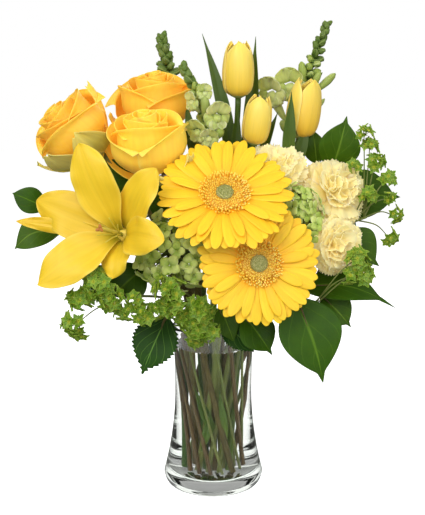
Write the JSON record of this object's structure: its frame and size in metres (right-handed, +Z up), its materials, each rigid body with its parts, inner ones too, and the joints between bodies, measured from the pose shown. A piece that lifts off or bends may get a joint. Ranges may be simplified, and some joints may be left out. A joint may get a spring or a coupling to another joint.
{
  "type": "flower bouquet in a glass vase",
  "caption": "Mixed yellow bouquet of lily, gerberas, roses, tulips, carnations and greens standing in a flared clear glass vase of water.",
  "frame": {"origin": "centre of the underside of the vase, on the surface that it stands on", "axes": "+Z up along the vase's axis, -Y towards the front of the bouquet, +X to its right as seen from the front"},
  "size_m": [0.4389, 0.3061, 0.569],
  "materials": {
    "clear_glass": "clear, polished",
    "still_water": "clear, still",
    "rose_petal": "soft satin petal",
    "gerbera_petal": "satin petal",
    "gerbera_eye": "velvety tight florets",
    "lily_petal": "waxy petal",
    "lily_pistil": "waxy, sticky at the tip",
    "tulip_petal": "silky petal",
    "carnation_petal": "soft matt petal",
    "hydrangea_petal": "matt petal-like sepals",
    "snapdragon_green": "downy buds",
    "stem_green": "smooth stem",
    "leaf_green": "glossy leaf",
    "tulip_leaf": "waxy blade",
    "bract_green": "thin bract"
  },
  "bodies": {
    "root": {"gerbera_upper_bloom": "gerbera_petal", "gerbera_upper_stem": "stem_green", "gerbera_upper_eye": "gerbera_eye", "gerbera_lower_bloom": "gerbera_petal", "gerbera_lower_stem": "stem_green", "gerbera_lower_eye": "gerbera_eye", "lily_bloom": "lily_petal", "lily_stem": "stem_green", "lily_pistil": "lily_pistil", "rose_front_bloom": "rose_petal", "rose_front_stem": "stem_green", "rose_back_bloom": "rose_petal", "rose_back_stem": "stem_green", "rose_left_bloom": "rose_petal", "rose_left_stem": "stem_green", "tulip_tall_bloom": "tulip_petal", "tulip_tall_stem": "tulip_leaf", "tulip_middle_bloom": "tulip_petal", "tulip_middle_stem": "tulip_leaf", "tulip_right_bloom": "tulip_petal", "tulip_right_stem": "tulip_leaf", "carnation_high_bloom": "carnation_petal", "carnation_high_stem": "stem_green", "carnation_right_bloom": "carnation_petal", "carnation_right_stem": "stem_green", "carnation_low_bloom": "carnation_petal", "carnation_low_stem": "stem_green", "carnation_back_bloom": "carnation_petal", "carnation_back_stem": "stem_green", "hydrangea_left_bloom": "hydrangea_petal", "hydrangea_left_stem": "stem_green", "hydrangea_right_bloom": "hydrangea_petal", "hydrangea_right_stem": "stem_green", "snapdragon_left_tall": "snapdragon_green", "snapdragon_left_lean": "snapdragon_green", "snapdragon_right": "snapdragon_green", "thoroughwax_right": "bract_green", "thoroughwax_left": "bract_green", "thoroughwax_front": "bract_green", "thoroughwax_low_right": "bract_green", "salal_front": "leaf_green", "salal_right_low": "leaf_green", "salal_right": "leaf_green", "salal_left": "leaf_green", "salal_left_low": "leaf_green", "salal_back": "leaf_green", "salal_back_left": "leaf_green", "vase": "clear_glass", "water": "still_water"}
  },
  "joints": []
}
